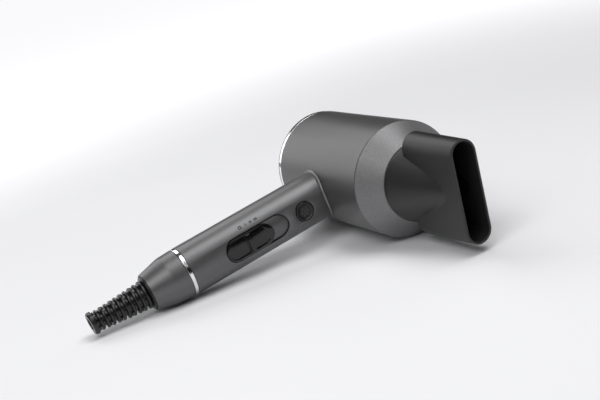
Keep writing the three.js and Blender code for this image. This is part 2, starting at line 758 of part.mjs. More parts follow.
const connectorDepth = barrelRadius + 6;
part('lead_connector', block(
  [-7, 7], [4, 10], [-connectorDepth - 8, -connectorDepth]), 'whiteWire');
for (const [i, finish] of ['redWire', 'whiteWire', 'component'].entries()) {
  const x = -4 + 4 * i;
  const top = -connectorDepth - 8 - gap;
  const foot = boardBack + gap;
  const lead = tubeAlong([
    new THREE.Vector3(x, 7, top), new THREE.Vector3(x, 7.5, top - 6),
    new THREE.Vector3(x, 6, -boardTop + 4), new THREE.Vector3(x, foot + 2.2, -boardTop - 3),
    new THREE.Vector3(x, foot + 1.2, -boardTop - 9),
  ], 0.9, 6, 14);
  part(`lead_${i + 1}`, lead, finish);
}

const clampDepth = capTop + 3;
const clampHeight = 7;
const clampHalf = 10.5;
const screwSpread = 7.4;
const screwRadius = 1.2;

function clampHalfBlock(near, far) {
  const bar = block(
    [-clampHalf, clampHalf], [near, far], [-clampDepth - clampHeight, -clampDepth]);
  const cordWay = downHandle(rod(cordBore, clampDepth - 1, clampDepth + clampHeight + 1, 16));
  const holes = [-1, 1].map((side) => rod(screwRadius + gap, near - 1, far + 1, 12)
    .translate([side * screwSpread, 0, -clampDepth - clampHeight / 2]));
  return without(bar, cordWay, ...holes);
}

part('cord_saddle', clampHalfBlock(-7.5, -1.2), 'ductPlastic');
part('cord_clamp', clampHalfBlock(1.2, 6.5), 'ductPlastic');
for (const [i, side] of [-1, 1].entries()) {
  const screw = turned([
    [0, -6], [screwRadius, -5.4], [screwRadius, 6.8], [2.6, 6.8], [2.6, 8.6], [0, 8.6],
  ], 12);
  part(`clamp_screw_${i + 1}`, screw.translate(
    [side * screwSpread, 0, -clampDepth - clampHeight / 2]), 'steel');
}

// ---- Lay the dryer down and bring the centre of its footprint to the origin ----
dryer.rotation.y = Math.PI / 2 - restTilt;
dryer.updateMatrixWorld(true);
const extent = new THREE.Box3().setFromObject(dryer, true);
const middle = extent.getCenter(new THREE.Vector3());
dryer.position.set(-middle.x, -middle.y, -extent.min.z);

export default dryer;
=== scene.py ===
import json
import math
import bmesh
import bpy
from mathutils import Matrix, Vector, kdtree


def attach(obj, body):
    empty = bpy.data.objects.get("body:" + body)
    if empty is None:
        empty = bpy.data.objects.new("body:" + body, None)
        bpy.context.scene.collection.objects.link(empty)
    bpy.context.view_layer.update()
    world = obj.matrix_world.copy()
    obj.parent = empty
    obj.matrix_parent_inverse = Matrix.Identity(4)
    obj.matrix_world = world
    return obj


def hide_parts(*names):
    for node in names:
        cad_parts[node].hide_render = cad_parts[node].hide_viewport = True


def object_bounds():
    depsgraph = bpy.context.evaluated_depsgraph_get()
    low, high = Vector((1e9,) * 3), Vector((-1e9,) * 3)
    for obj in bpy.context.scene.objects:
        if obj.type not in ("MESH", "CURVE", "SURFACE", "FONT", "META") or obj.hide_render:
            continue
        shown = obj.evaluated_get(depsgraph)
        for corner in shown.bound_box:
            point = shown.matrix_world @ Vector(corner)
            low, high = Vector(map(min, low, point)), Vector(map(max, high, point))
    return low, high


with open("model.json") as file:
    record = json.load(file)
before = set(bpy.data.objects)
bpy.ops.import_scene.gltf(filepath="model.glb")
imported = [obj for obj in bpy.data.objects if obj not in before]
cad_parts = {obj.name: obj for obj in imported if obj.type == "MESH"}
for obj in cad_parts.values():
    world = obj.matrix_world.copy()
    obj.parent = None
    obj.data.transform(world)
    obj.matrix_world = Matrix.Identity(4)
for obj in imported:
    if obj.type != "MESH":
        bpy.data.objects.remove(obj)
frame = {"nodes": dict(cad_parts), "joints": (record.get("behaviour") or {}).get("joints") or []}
cadBox = [list(corner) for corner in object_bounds()]

# Pieces are modelled in millimetres on their own axes, then set in place in metres
mm = 0.001
seam = 0.3                                                 # between neighbouring pieces
joints = {joint["name"]: joint for joint in frame["joints"]}
crossing = Vector(joints["rotor_spin"]["pos_m"])           # barrel axis meets handle axis
alongBarrel = Vector((0, -1, 0))                           # towards the nozzle
alongHandle = -Vector(joints["slider_slide"]["axis"])      # towards the cord
frontSide = Vector((0, -1, 0))                             # the side with the switches


def axesAt(origin, along, side):
    side = side.normalized()
    turn = Matrix((side, along.normalized().cross(side), along.normalized())).transposed()
    return Matrix.Translation(origin) @ turn.to_4x4()


onBarrel = axesAt(crossing, alongBarrel, Vector((1, 0, 0)))
onHandle = axesAt(crossing, alongHandle, Vector((0, 1, 0)).cross(alongHandle))


def onFront(depth):
    # Axes on the handle's front: x towards the cord, z outwards
    return axesAt(crossing + alongHandle * depth * mm, frontSide, alongHandle)


def measured(node, place):
    # A CAD node's reach on a piece's own axes, in millimetres
    back = place.inverted()
    points = [back @ vertex.co / mm for vertex in frame["nodes"][node].data.vertices]
    radii = [math.hypot(point.x, point.y) for point in points]
    heights = [point.z for point in points]
    return {"start": min(heights), "end": max(heights),
            "radius": max(radii), "bore": min(radii), "points": points}


# Modelling tools
def selectOnly(piece):
    bpy.ops.object.select_all(action="DESELECT")
    piece.select_set(True)
    bpy.context.view_layer.objects.active = piece


def startEditing(piece, mode="VERT"):
    selectOnly(piece)
    bpy.ops.object.mode_set(mode="EDIT")
    bpy.ops.mesh.select_mode(type=mode)


def stopEditing():
    bpy.ops.object.mode_set(mode="OBJECT")


def chooseFaces(piece, wanted):
    bpy.ops.mesh.select_all(action="DESELECT")
    mesh = bmesh.from_edit_mesh(piece.data)
    for face in mesh.faces:
        if wanted(face):
            face.select_set(True)
    bmesh.update_edit_mesh(piece.data)


def settleRing(piece, before, after):
    # Moves the selected ring of points from its old places to its new ones
    lookup = kdtree.KDTree(len(before))
    for index, point in enumerate(before):
        lookup.insert(point, index)
    lookup.balance()
    mesh = bmesh.from_edit_mesh(piece.data)
    for vertex in mesh.verts:
        if vertex.select:
            vertex.co = after[lookup.find(vertex.co)[1]]
    bmesh.update_edit_mesh(piece.data)


def ringPiece(name, rings, closed=True):
    # A circle extruded from ring to ring, then joined to its start or capped at both ends
    bpy.ops.object.select_all(action="DESELECT")
    bpy.ops.mesh.primitive_circle_add(vertices=len(rings[0]), radius=1)
    piece = bpy.context.object
    piece.name = piece.data.name = name
    for vertex, point in zip(piece.data.vertices, rings[0]):
        vertex.co = point
    startEditing(piece)
    bpy.ops.mesh.select_all(action="SELECT")
    if not closed:
        bpy.ops.mesh.edge_face_add()
    stops = rings + [rings[0]] if closed else rings
    for before, after in zip(stops, stops[1:]):
        bpy.ops.mesh.extrude_region_move()
        settleRing(piece, before, after)
    bpy.ops.mesh.select_all(action="SELECT")
    if closed:
        bpy.ops.mesh.remove_doubles(threshold=0.0005)
    bpy.ops.mesh.normals_make_consistent(inside=False)
    stopEditing()
    return piece


def circle(radius, height, sides):
    turns = [2 * math.pi * step / sides for step in range(sides)]
    return [Vector((radius * math.cos(turn), radius * math.sin(turn), height)) for turn in turns]


def softened(outline, closed=True, steps=4):
    # Rounds the corners of an outline of (height, radius, rounding) stops
    rounded = []
    for index, (height, radius, rounding) in enumerate(outline):
        here = Vector((height, radius))
        atEnd = not closed and index in (0, len(outline) - 1)
        if atEnd or rounding == 0:
            rounded.append(here)
            continue
        back = Vector(outline[index - 1][:2]) - here
        ahead = Vector(outline[(index + 1) % len(outline)][:2]) - here
        reach = min(rounding, 0.36 * back.length, 0.36 * ahead.length)
        start = here + back.normalized() * reach
        end = here + ahead.normalized() * reach
        rounded.append(here + back.normalized() * reach * 1.3)
        for step in range(steps + 1):
            share = step / steps
            rounded.append(start * (1 - share) ** 2 + here * 2 * share * (1 - share) + end * share ** 2)
        rounded.append(here + ahead.normalized() * reach * 1.3)
    return rounded


def turnedPiece(name, outline, sides, closed=True):
    stops = softened(outline, closed)
    return ringPiece(name, [circle(radius, height, sides) for height, radius in stops], closed)


def prism(name, outline, low, high, topOutline=None):
    bottom = [Vector((x, y, low)) for x, y in outline]
    top = [Vector((x, y, high)) for x, y in (topOutline or outline)]
    return ringPiece(name, [bottom, top], closed=False)


def stadium(halfLength, halfWidth, steps=24):
    middle = halfLength - halfWidth
    points = []
    for side, begin in ((1, -0.5), (-1, 0.5)):
        for step in range(steps + 1):
            turn = math.pi * (begin + step / steps)
            points.append((side * middle + halfWidth * math.cos(turn), halfWidth * math.sin(turn)))
    return points


def setInPlace(piece, place):
    piece.matrix_world = place @ Matrix.Scale(mm, 4)
    selectOnly(piece)
    bpy.ops.object.transform_apply(location=True, rotation=True, scale=True)
    return piece


def shape(piece, tool, operation="DIFFERENCE"):
    modifier = piece.modifiers.new("shape", "BOOLEAN")
    modifier.object = tool
    modifier.operation = operation
    modifier.solver = "EXACT"
    selectOnly(piece)
    bpy.ops.object.modifier_apply(modifier=modifier.name)
    bpy.data.objects.remove(tool)
    return piece


def bevelled(piece, width, segments=2, angle=35):
    modifier = piece.modifiers.new("edges", "BEVEL")
    modifier.width = width * mm
    modifier.segments = segments
    modifier.limit_method = "ANGLE"
    modifier.angle_limit = math.radians(angle)
    modifier.use_clamp_overlap = True
    selectOnly(piece)
    bpy.ops.object.modifier_apply(modifier=modifier.name)
    return piece


def joined(name, pieces):
    bpy.ops.object.select_all(action="DESELECT")
    for piece in pieces:
        piece.select_set(True)
    bpy.context.view_layer.objects.active = pieces[0]
    bpy.ops.object.join()
    pieces[0].name = pieces[0].data.name = name
    return pieces[0]


def finished(piece, body, material, replaced=(), angle=32):
    selectOnly(piece)
    bpy.ops.object.shade_smooth_by_angle(angle=math.radians(angle))
    piece.data.materials.clear()
    piece.data.materials.append(material)
    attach(piece, body)
    if replaced:
        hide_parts(*replaced)
    return piece


class Value:
    # A socket of a material, with arithmetic that adds Math nodes
    def __init__(self, tree, socket):
        self.tree = tree
        self.socket = socket

    def node(self, kind, settings, inputs, output=0):
        made = self.tree.nodes.new(kind)
        for name, setting in settings.items():
            if name == "stops":
                ramp = made.color_ramp
                while len(ramp.elements) < len(setting):
                    ramp.elements.new(0.5)
                for element, (place, colour) in zip(ramp.elements, setting):
                    element.position = place
                    element.color = colour
            else:
                setattr(made, name, setting)
        for name, given in inputs.items():
            if isinstance(given, Value):
                self.tree.links.new(given.socket, made.inputs[name])
            else:
                made.inputs[name].default_value = given
        return Value(self.tree, made.outputs[output])

    def maths(self, operation, first, second):
        return self.node("ShaderNodeMath", {"operation": operation}, {0: first, 1: second})

    def __add__(self, other):
        return self.maths("ADD", self, other)

    def __radd__(self, other):
        return self.maths("ADD", other, self)

    def __sub__(self, other):
        return self.maths("SUBTRACT", self, other)

    def __rsub__(self, other):
        return self.maths("SUBTRACT", other, self)

    def __mul__(self, other):
        return self.maths("MULTIPLY", self, other)

    def __rmul__(self, other):
        return self.maths("MULTIPLY", other, self)

    def into(self, socket):
        self.tree.links.new(self.socket, socket)


def grey(level):
    return (level, level, level * 1.02, 1)


def newMaterial(name, constants):
    material = bpy.data.materials.new(name)
    material.use_nodes = True
    tree = material.node_tree
    shader = tree.nodes["Principled BSDF"]
    for socket, constant in constants.items():
        shader.inputs[socket].default_value = constant
    place = Value(tree, None).node("ShaderNodeTexCoord", {}, {}, "Object")
    return material, shader.inputs, place


def noise(place, scale, detail=3.0, stretch=None):
    if stretch:
        place = place.node("ShaderNodeMapping", {}, {"Vector": place, "Scale": stretch})
    return place.node("ShaderNodeTexNoise", {}, {
        "Vector": place, "Scale": scale, "Detail": detail, "Roughness": 0.55}, "Fac")


def blend(factor, first, second):
    return factor.node("ShaderNodeMix", {"data_type": "RGBA"}, {0: factor, 6: first, 7: second}, 2)


def roughen(height, depth, sockets):
    height.node("ShaderNodeBump", {}, {
        "Height": height, "Strength": 1.0, "Distance": depth}, "Normal").into(sockets["Normal"])


# Satin metallic paint: fine flakes, faint cloudiness, a slight orange peel
paint = {
    "housing": {"dark": 0.105, "light": 0.165, "metallic": 0.62, "rough": 0.40,
                "flakeScale": 5200, "peelScale": 900, "depth": 6e-6},
    "collar": {"dark": 0.10, "light": 0.27, "metallic": 0.50, "rough": 0.47,
               "flakeScale": 3000, "peelScale": 1500, "depth": 1.6e-5},
}


def paintedMaterial(name):
    look = paint[name]
    material, sockets, place = newMaterial(name + "Paint", {"Specular IOR Level": 0.5})
    flakes = place.node("ShaderNodeTexVoronoi", {}, {"Vector": place, "Scale": look["flakeScale"]}, "Color")
    sparkle = flakes.node("ShaderNodeSeparateColor", {}, {"Color": flakes}, "Red")
    clouds = noise(place, 38, 2)
    peel = noise(place, look["peelScale"], 3)
    shade = sparkle * 0.45 + clouds * 0.35 + peel * 0.2
    blend(shade, grey(look["dark"]), grey(look["light"])).into(sockets["Base Color"])
    (look["rough"] - 0.06 + clouds * 0.08 + sparkle * 0.04).into(sockets["Roughness"])
    (look["metallic"] - 0.12 + sparkle * 0.24).into(sockets["Metallic"])
    roughen(peel * 0.7 + sparkle * 0.3, look["depth"], sockets)
    return material


# Everything else: two tones, a roughness range and a grain, each at its own scale
finishes = {
    "nozzlePlastic": {"tones": (grey(0.012), grey(0.019)), "metallic": 0, "rough": (0.40, 0.50),
                      "scale": 60, "grain": 2600, "depth": 9e-6},
    "satinPlastic": {"tones": (grey(0.006), grey(0.011)), "metallic": 0, "rough": (0.3, 0.42),
                     "scale": 90, "grain": 2200, "depth": 6e-6},
    "glossPlastic": {"tones": (grey(0.004), grey(0.007)), "metallic": 0, "rough": (0.14, 0.22),
                     "scale": 120, "grain": 700, "depth": 2e-6},
    "rubberSkin": {"tones": (grey(0.007), grey(0.013)), "metallic": 0, "rough": (0.24, 0.36),
                   "scale": 130, "grain": 2000, "depth": 1.2e-5},
    "chromePlate": {"tones": (grey(0.80), grey(0.90)), "metallic": 1, "rough": (0.12, 0.19),
                    "scale": 45, "grain": 900, "depth": 1e-6},
    "printedMark": {"tones": (grey(0.004), grey(0.008)), "metallic": 0, "rough": (0.75, 0.9),
                    "scale": 400, "grain": 3000, "depth": 4e-6},
    "printedIcon": {"tones": (grey(0.06), grey(0.10)), "metallic": 0, "rough": (0.35, 0.45),
                    "scale": 400, "grain": 3000, "depth": 4e-6},
    "ductPlastic": {"tones": ((0.022, 0.024, 0.027, 1), (0.034, 0.036, 0.040, 1)), "metallic": 0,
                    "rough": (0.45, 0.6), "scale": 80, "grain": 1800, "depth": 1.2e-5},
    "meshSteel": {"tones": (grey(0.30), grey(0.45)), "metallic": 1, "rough": (0.28, 0.42),
                  "scale": 200, "grain": 1500, "depth": 4e-6},
    "steel": {"tones": (grey(0.38), grey(0.52)), "metallic": 1, "rough": (0.25, 0.42),
              "scale": 120, "grain": 1200, "depth": 5e-6},
    "magnetSteel": {"tones": (grey(0.05), grey(0.09)), "metallic": 0.9, "rough": (0.3, 0.5),
                    "scale": 150, "grain": 1400, "depth": 8e-6},
    "brass": {"tones": ((0.42, 0.27, 0.08, 1), (0.55, 0.37, 0.13, 1)), "metallic": 1,
              "rough": (0.25, 0.4), "scale": 200, "grain": 1500, "depth": 5e-6},
    "copper": {"tones": ((0.40, 0.13, 0.05, 1), (0.55, 0.21, 0.09, 1)), "metallic": 1,
               "rough": (0.3, 0.45), "scale": 260, "grain": 2400, "depth": 1.5e-5},
    "heaterWire": {"tones": ((0.20, 0.18, 0.16, 1), (0.34, 0.31, 0.28, 1)), "metallic": 1,
                   "rough": (0.35, 0.55), "scale": 300, "grain": 2600, "depth": 6e-6},
    "mica": {"tones": ((0.36, 0.27, 0.15, 1), (0.58, 0.48, 0.32, 1)), "metallic": 0.1,
             "rough": (0.3, 0.6), "scale": 260, "grain": 900, "depth": 1.5e-5},
    "circuitBoard": {"tones": ((0.008, 0.07, 0.03, 1), (0.014, 0.12, 0.05, 1)), "metallic": 0,
                     "rough": (0.25, 0.4), "scale": 500, "grain": 1100, "depth": 1e-5},
    "blackResin": {"tones": (grey(0.012), grey(0.022)), "metallic": 0, "rough": (0.35, 0.5),
                   "scale": 160, "grain": 2000, "depth": 8e-6},
    "yellowFilm": {"tones": ((0.50, 0.30, 0.04, 1), (0.62, 0.40, 0.07, 1)), "metallic": 0,
                   "rough": (0.25, 0.4), "scale": 140, "grain": 900, "depth": 5e-6},
    "pottedResin": {"tones": ((0.02, 0.035, 0.07, 1), (0.035, 0.055, 0.10, 1)), "metallic": 0,
                    "rough": (0.2, 0.45), "scale": 110, "grain": 700, "depth": 1.2e-5},
    "redInsulation": {"tones": ((0.30, 0.012, 0.010, 1), (0.40, 0.020, 0.016, 1)), "metallic": 0,
                      "rough": (0.35, 0.5), "scale": 150, "grain": 1300, "depth": 6e-6},
    "whitePlastic": {"tones": (grey(0.58), grey(0.70)), "metallic": 0, "rough": (0.35, 0.5),
                     "scale": 150, "grain": 1500, "depth": 6e-6},
}


def grainedMaterial(name):
    look = finishes[name]
    material, sockets, place = newMaterial(name, {})
    patches = noise(place, look["scale"], 4)
    grain = noise(place, look["grain"], 2)
    blend(patches * 0.6 + grain * 0.4, *look["tones"]).into(sockets["Base Color"])
    low, high = look["rough"]
    (low + (patches * 0.5 + grain * 0.5) * (high - low)).into(sockets["Roughness"])
    sockets["Metallic"].default_value = look["metallic"]
    roughen(grain, look["depth"], sockets)
    return material


materials = {name: paintedMaterial(name) for name in paint}
materials.update({name: grainedMaterial(name) for name in finishes})
print("materials made:", len(materials))


barrel = {"wall": 2.2, "edge": 0.3, "sides": 224}
shell = measured("barrel_shell", onBarrel)
barrelRadius = shell["radius"] - 0.02
barrelInner = shell["radius"] - barrel["wall"]
handle = {"wall": 2.2, "edge": 0.3, "sides": 192, "straightFrom": 52}
grip = measured("handle_shell", onHandle)
gripInner = grip["radius"] - handle["wall"]

barrelShell = setInPlace(turnedPiece("barrelShell", [
    (shell["start"], barrelInner, 0.2), (shell["start"], barrelRadius, barrel["edge"]),
    (shell["end"], barrelRadius, barrel["edge"]), (shell["end"], barrelInner, 0.2),
], barrel["sides"]), onBarrel)
neckHole = setInPlace(turnedPiece("neckHole", [
    (10, gripInner, 0), (2 * barrelRadius, gripInner, 0)], 96, closed=False), onHandle)
finished(shape(barrelShell, neckHole), "dryer", materials["housing"], ["barrel_shell"])

collar = {"wall": 2.2, "spigotGap": 0.3, "edge": 0.25}
cone = measured("front_collar", onBarrel)
collarTip = {"radius": 27.9, "outlet": 23.0}
shoulder = shell["end"] + seam
spigotOuter = barrelInner - collar["spigotGap"]
finished(setInPlace(turnedPiece("frontCollar", [
    (cone["start"], spigotOuter - collar["wall"], 0.2), (cone["start"], spigotOuter, 0.3),
    (shoulder, spigotOuter, 0), (shoulder, barrelRadius - 0.1, collar["edge"]),
    (cone["end"], collarTip["radius"], 0.35), (cone["end"], collarTip["outlet"], 0.3),
    (cone["end"] - collar["wall"], collarTip["outlet"], 0.2),
    (cone["end"] - collar["wall"], collarTip["radius"] - 0.2, 0),
    (shoulder + 1, spigotOuter - collar["wall"], 0),
], barrel["sides"]), onBarrel), "dryer", materials["collar"], ["front_collar"])

trim = measured("rear_trim_ring", onBarrel)
finished(setInPlace(turnedPiece("rearTrimRing", [
    (trim["start"], barrelInner, 0.15), (trim["start"], barrelRadius, 0.3),
    (trim["end"], barrelRadius, 0.3), (trim["end"], barrelInner, 0.15),
], barrel["sides"]), onBarrel), "dryer", materials["chromePlate"], ["rear_trim_ring"])
print("barrel done")

cover = {"thick": 1.4, "dish": 0.5, "holes": 33, "slot": 3, "rows": 3, "rowStep": 2.6,
         "sectors": 6, "skirt": 1, "hub": 4, "cutBehind": 3, "cutAhead": 5}
lid = measured("filter_cover", onBarrel)
coverRadius = lid["radius"] - 0.02
coverBack = lid["start"]
coverInside = coverBack + cover["thick"]
rearCover = turnedPiece("rearCover", [
    (coverInside, cover["hub"], 0), (coverInside, cover["holes"] + 1, 0.1),
    (coverInside + cover["skirt"], cover["holes"] + 1, 0.1),
    (coverInside + cover["skirt"], cover["holes"] + 2.5, 0.2),
    (coverInside, cover["holes"] + 2.5, 0.1), (coverInside, coverRadius, 0.2),
    (coverBack + 0.1, coverRadius, 0.45), (coverBack, cover["holes"] + 2.6, 0.3),
    (coverBack + cover["dish"], cover["holes"] + 1.6, 0.3), (coverBack + cover["dish"], cover["hub"], 0),
], barrel["sides"], closed=False)
setInPlace(rearCover, onBarrel)


def arcSlot(outer, width, sectors, steps=14):
    # A curved slot with round ends, centred on the x axis
    middle = outer - width / 2
    half = math.pi / sectors - width / outer
    points = []
    for step in range(steps + 1):
        turn = -half + 2 * half * step / steps
        points.append((outer * math.cos(turn), outer * math.sin(turn)))
    for end, begin in ((1, 0), (-1, math.pi)):
        centre = Vector((middle * math.cos(end * half), middle * math.sin(end * half)))
        for step in range(1, 8):
            turn = end * half + begin + math.pi * step / 8
            points.append((centre.x + width / 2 * math.cos(turn), centre.y + width / 2 * math.sin(turn)))
        if end == 1:
            for step in range(steps + 1):
                turn = half - 2 * half * step / steps
                points.append(((outer - width) * math.cos(turn), (outer - width) * math.sin(turn)))
    return points


slots = []
for row in range(cover["rows"]):
    outer = cover["holes"] - row * cover["rowStep"] * cover["slot"]
    for sector in range(cover["sectors"]):
        tool = prism("slotTool", arcSlot(outer, cover["slot"], cover["sectors"]),
                     coverBack - cover["cutBehind"], coverBack + cover["cutAhead"])
        turn = 2 * math.pi * (sector + row / 2) / cover["sectors"]
        slots.append(setInPlace(tool, onBarrel @ Matrix.Rotation(turn, 4, "Z")))
shape(rearCover, joined("slotTools", slots))
finished(rearCover, "rear_cover", materials["housing"], ["filter_cover"])

# Filter behind the cover: two crossing layers of fine wire in a rim
sieve = {"pitch": 1.1, "wire": 0.16, "rim": 1.2, "short": 0.5, "shortest": 2}
gauze = measured("filter_mesh", onBarrel)
gauzeMiddle = (gauze["start"] + gauze["end"]) / 2
gauzeRadius = gauze["radius"]
wires = [turnedPiece("filterGauze", [
    (gauze["start"], gauzeRadius - sieve["rim"], 0.1), (gauze["start"], gauzeRadius, 0.1),
    (gauze["end"], gauzeRadius, 0.1), (gauze["end"], gauzeRadius - sieve["rim"], 0.1)], 96)]
thin = sieve["wire"]
wireSection = [(thin, 0), (0, thin), (-thin, 0), (0, -thin)]
for layer in (0, 1):
    count = int(gauzeRadius / sieve["pitch"])
    for row in range(-count, count + 1):
        offset = row * sieve["pitch"]
        half = math.sqrt(max(gauzeRadius ** 2 - offset ** 2, 0)) - sieve["short"]
        if half < sieve["shortest"]:
            continue
        wire = prism("wire", wireSection, -half, half)
        sideways = Matrix.Rotation(math.pi / 2, 4, "X" if layer else "Y")
        height = gauzeMiddle + (layer - 0.5) * thin
        across = (offset, 0, height) if layer else (0, offset, height)
        wire.matrix_world = Matrix.Translation(across) @ sideways
        wires.append(wire)
filterGauze = joined("filterGauze", wires)
setInPlace(filterGauze, onBarrel)
finished(filterGauze, "rear_cover", materials["meshSteel"], ["filter_mesh"])


def guard(name, node, rings, spokes, bar=1.3):
    # Finger guard of round bars on spokes
    reach = measured(node, onBarrel)
    step = reach["radius"] / (rings + 0.5)
    low, high = reach["start"], reach["end"]
    parts = []
    for ring in range(1, rings + 1):
        outer = reach["radius"] if ring == rings else step * ring + bar / 2
        parts.append(turnedPiece(name, [
            (low, outer - bar, 0.3), (low, outer, 0.3), (high, outer, 0.3), (high, outer - bar, 0.3)], 96))
    parts.append(turnedPiece("hub", [(low, step / 2 - 0.4, 0), (low, step / 2, 0.3),
                                     (high, step / 2, 0.4), (high, step / 2 - 0.6, 0)], 48, closed=False))
    for spoke in range(spokes):
        reachOut = reach["radius"] - bar / 2
        arm = prism("spoke", [(1, -bar / 2), (reachOut, -bar / 2), (reachOut, bar / 2), (1, bar / 2)],
                    low + 0.15, high - 0.15)
        arm.matrix_world = Matrix.Rotation(2 * math.pi * spoke / spokes, 4, "Z")
        parts.append(arm)
    return setInPlace(joined(name, parts), onBarrel)


finished(guard("outletGuard", "outlet_grille", 2, 6), "dryer",
         materials["satinPlastic"], ["outlet_grille"])
finished(guard("inletGuard", "inlet_grille", 3, 6), "dryer",
         materials["ductPlastic"], ["inlet_grille"])
for name, node, body in (("collarMagnetRing", "collar_magnet_ring", "dryer"),
                         ("nozzleMagnetRing", "nozzle_magnet_ring", "nozzle_ring")):
    reach = measured(node, onBarrel)
    finished(setInPlace(turnedPiece(name, [
        (reach["start"], reach["bore"], 0.15), (reach["start"], reach["radius"], 0.15),
        (reach["end"], reach["radius"], 0.15), (reach["end"], reach["bore"], 0.15),
    ], 128), onBarrel), body, materials["magnetSteel"], [node])
print("rear cover, filter and guards done")


# The nozzle is a cone and a flat duct in one: the duct's half thickness and half length run
# from base to tip, and it starts a setback along the cone
nozzle = {"baseRadius": 27.5, "wall": 1.6, "thickBase": 11, "thickTip": 9.7,
          "halfBase": 36.5, "halfTip": 35.3, "setback": 6, "coneReach": 46.3,
          "softBase": 0.45, "softTip": 1.0, "lip": 0.55, "step": 0.9, "insideStep": 2.4,
          "endEdge": 0.55, "seat": 3.5, "innerLip": 0.7, "clear": 0.02, "samples": 60}
spout = measured("nozzle", onBarrel)
spoutLength = spout["end"] - spout["start"]
farthest = max(spout["points"], key=lambda point: math.hypot(point.x, point.y))
spoutTurn = math.atan2(farthest.y, farthest.x)


def ductRadius(turn, thick, half):
    # Distance from the axis to a flat duct with round ends
    straight = half - thick
    across, up = abs(math.cos(turn)), abs(math.sin(turn))
    if up > 1e-6 and thick / up * across <= straight:
        return thick / up
    return straight * across + math.sqrt(max(thick ** 2 - (straight * up) ** 2, 0))


def alongDuct(name, depth):
    share = (depth - nozzle["setback"]) / (spoutLength - nozzle["setback"])
    return nozzle[name + "Base"] + (nozzle[name + "Tip"] - nozzle[name + "Base"]) * share


def coneRadiusAt(depth):
    fall = (nozzle["baseRadius"] - alongDuct("thick", nozzle["coneReach"])) / nozzle["coneReach"]
    return nozzle["baseRadius"] - fall * depth


def spoutRadius(turn, depth, inset, ductInset):
    # Cone and duct flowing into each other
    coneRadius = coneRadiusAt(depth) - inset
    ductInset += inset
    duct = ductRadius(turn, alongDuct("thick", depth) - ductInset, alongDuct("half", depth) - ductInset)
    if coneRadius <= 0:
        return duct, duct, 0
    along = min(depth / nozzle["coneReach"], 1)
    soft = nozzle["softBase"] + (nozzle["softTip"] - nozzle["softBase"]) * along ** 2
    overlap = max(soft - abs(duct - coneRadius), 0) / soft
    return max(duct, coneRadius) + overlap ** 2 * soft / 4, duct, coneRadius


def spoutRing(depth, inset, height, ductInset=0, counts=(38, 6, 20)):
    # A quarter is sampled evenly on each side of the crease, then mirrored
    low, high = 0.0, math.pi / 2
    for _ in range(30):
        middle = (low + high) / 2
        _, duct, coneRadius = spoutRadius(middle, depth, inset, ductInset)
        low, high = (middle, high) if duct > coneRadius else (low, middle)
    width = 0.5 / nozzle["baseRadius"]
    knotHigh = min(low + width, math.pi / 2 - 0.03)
    knotLow = min(low - width, knotHigh - 0.02)
    turns = []
    for start, end, count in zip((0, knotLow, knotHigh), (knotLow, knotHigh, math.pi / 2), counts):
        samples = nozzle["samples"]
        fine = [start + (end - start) * step / samples for step in range(samples + 1)]
        places = [Vector((math.cos(place), math.sin(place))) * spoutRadius(place, depth, inset, ductInset)[0]
                  for place in fine]
        lengths = [0]
        for before, after in zip(places, places[1:]):
            lengths.append(lengths[-1] + (after - before).length)
        for step in range(count):
            wanted = lengths[-1] * step / count
            index = max(i for i, length in enumerate(lengths) if length <= wanted)
            index = min(index, samples - 1)
            part = (wanted - lengths[index]) / max(lengths[index + 1] - lengths[index], 1e-9)
            turns.append(fine[index] + (fine[index + 1] - fine[index]) * part)
    quarter = turns + [math.pi / 2]
    half = quarter + [math.pi - turn for turn in reversed(turns)]
    whole = half[:-1] + [turn + math.pi for turn in half[:-1]]
    ring = []
    for turn in whole:
        radius = spoutRadius(turn, depth, inset, ductInset)[0]
        ring.append(Vector((radius * math.cos(turn), radius * math.sin(turn), height)))
    return ring, whole


def roundRing(radius, height, turns):
    return [Vector((radius * math.cos(turn), radius * math.sin(turn), height)) for turn in turns]


spoutBase, spoutTip = spout["start"], spout["end"] - nozzle["clear"]
magnetRing = measured("nozzle_magnet_ring", onBarrel)
lip, spoutWall = nozzle["lip"], nozzle["wall"]
setback, endEdge = nozzle["setback"], nozzle["endEdge"]
startTurns = spoutRing(setback, 0, 0, endEdge)[1]
rings = [roundRing(coneRadiusAt(depth) - inset, spoutBase + depth, startTurns)
         for depth, inset in ((0, 0.4), (0.1, 0.12), (0.4, 0), (setback / 2, 0), (setback, 0))]
for share in (0, 0.25, 0.5, 0.75, 1):
    turn = share * math.pi / 2
    depth = setback + endEdge * (1 - math.cos(turn))
    rings.append(spoutRing(depth, 0, spoutBase + depth, endEdge * (1 - math.sin(turn)))[0])
depth = setback + endEdge + nozzle["step"]
while depth < spoutLength - lip:
    rings.append(spoutRing(depth, 0, spoutBase + depth)[0])
    depth += nozzle["step"]
for share in (0, 0.2, 0.4, 0.6, 0.8, 1):
    turn = share * math.pi / 2
    rings.append(spoutRing(spoutLength, lip * (1 - math.cos(turn)), spoutTip - lip * (1 - math.sin(turn)))[0])
for share in (0, 0.33, 0.66, 1):
    turn = share * math.pi / 2
    innerLip = lip * nozzle["innerLip"]
    rings.append(spoutRing(spoutLength, spoutWall - innerLip + innerLip * math.sin(turn),
                           spoutTip - innerLip * (1 - math.cos(turn)))[0])
inside = spoutLength - lip
ductInside = setback + spoutWall
while inside > ductInside:
    rings.append(spoutRing(inside, spoutWall, spoutBase + inside)[0])
    inside -= nozzle["insideStep"]
lastRing, turns = spoutRing(ductInside, spoutWall, spoutBase + ductInside)
rings.append(lastRing)
rings.append(roundRing(coneRadiusAt(ductInside) - spoutWall, spoutBase + ductInside, turns))
rings.append(roundRing(coneRadiusAt(nozzle["seat"]) - spoutWall, spoutBase + nozzle["seat"], turns))
throat = magnetRing["bore"] - 1.2
pocket = magnetRing["end"] - spoutBase + 0.3
